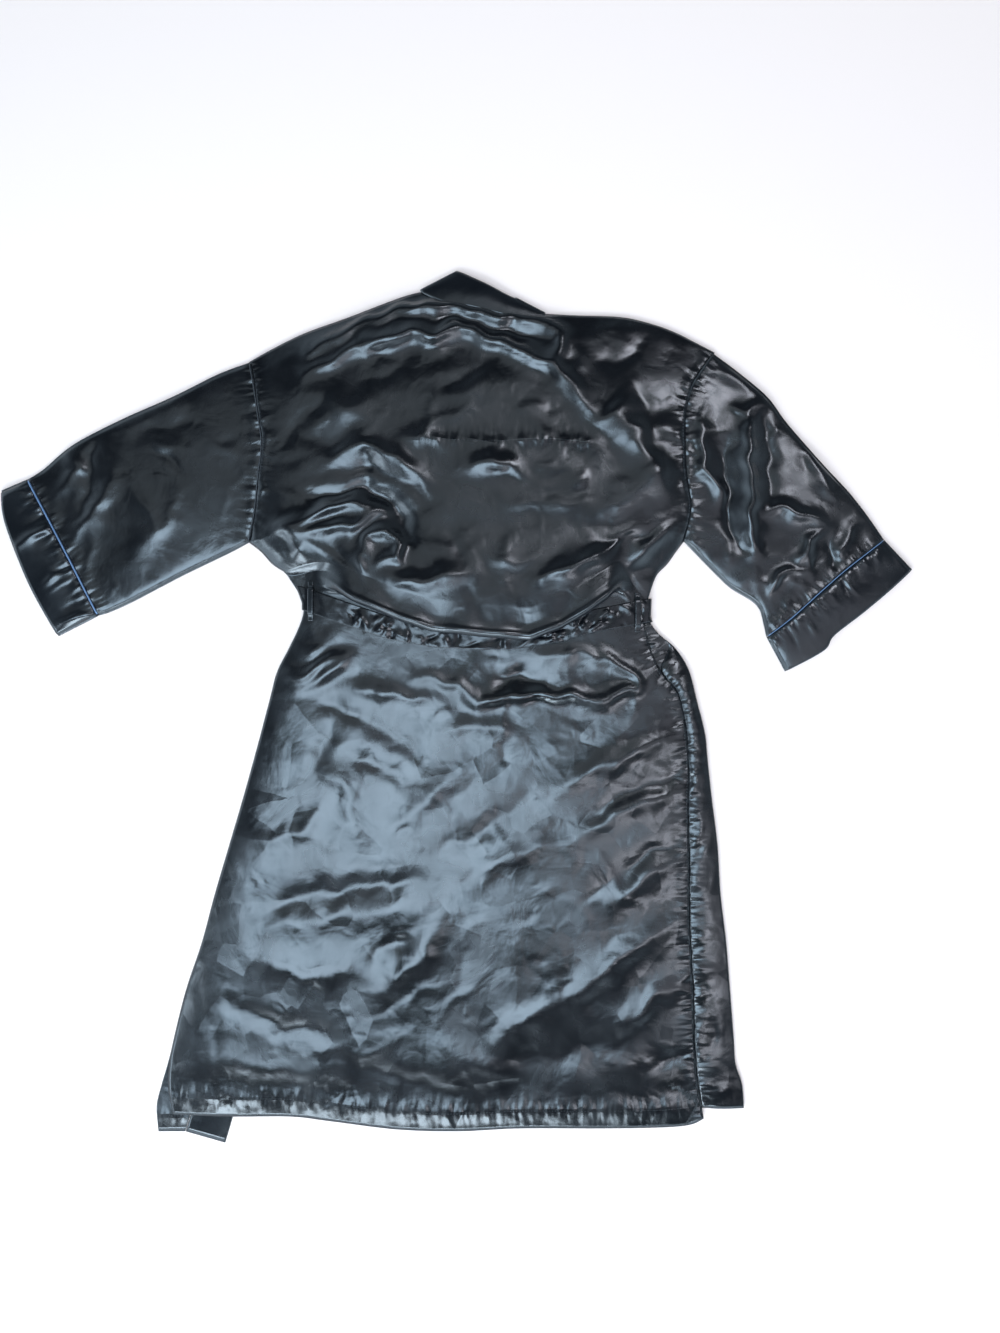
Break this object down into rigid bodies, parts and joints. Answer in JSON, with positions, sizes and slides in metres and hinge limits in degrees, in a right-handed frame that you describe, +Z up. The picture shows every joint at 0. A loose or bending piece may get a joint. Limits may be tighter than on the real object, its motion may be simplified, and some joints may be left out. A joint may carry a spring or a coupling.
{
  "type": "satin robe",
  "caption": "Short satin dressing gown with a neckband, wide cuffed sleeves and a tie belt, laid out flat with its back upwards.",
  "frame": {"origin": "middle of the bounding box, on the surface the robe lies on", "axes": "+Z up from the surface, +Y towards the neck, +X towards the wearer's right sleeve"},
  "size_m": [0.9786, 0.9362, 0.0268],
  "materials": {
    "satin": "glossy satin"
  },
  "bodies": {
    "root": {"back": "satin", "front_left": "satin", "front_right": "satin", "sleeve_left": "satin", "sleeve_right": "satin", "cuff_left": "satin", "cuff_right": "satin", "neckband": "satin", "belt": "satin", "belt_knot": "satin", "belt_tail_left": "satin", "belt_tail_right": "satin", "belt_loop_left": "satin", "belt_loop_right": "satin"}
  },
  "joints": []
}
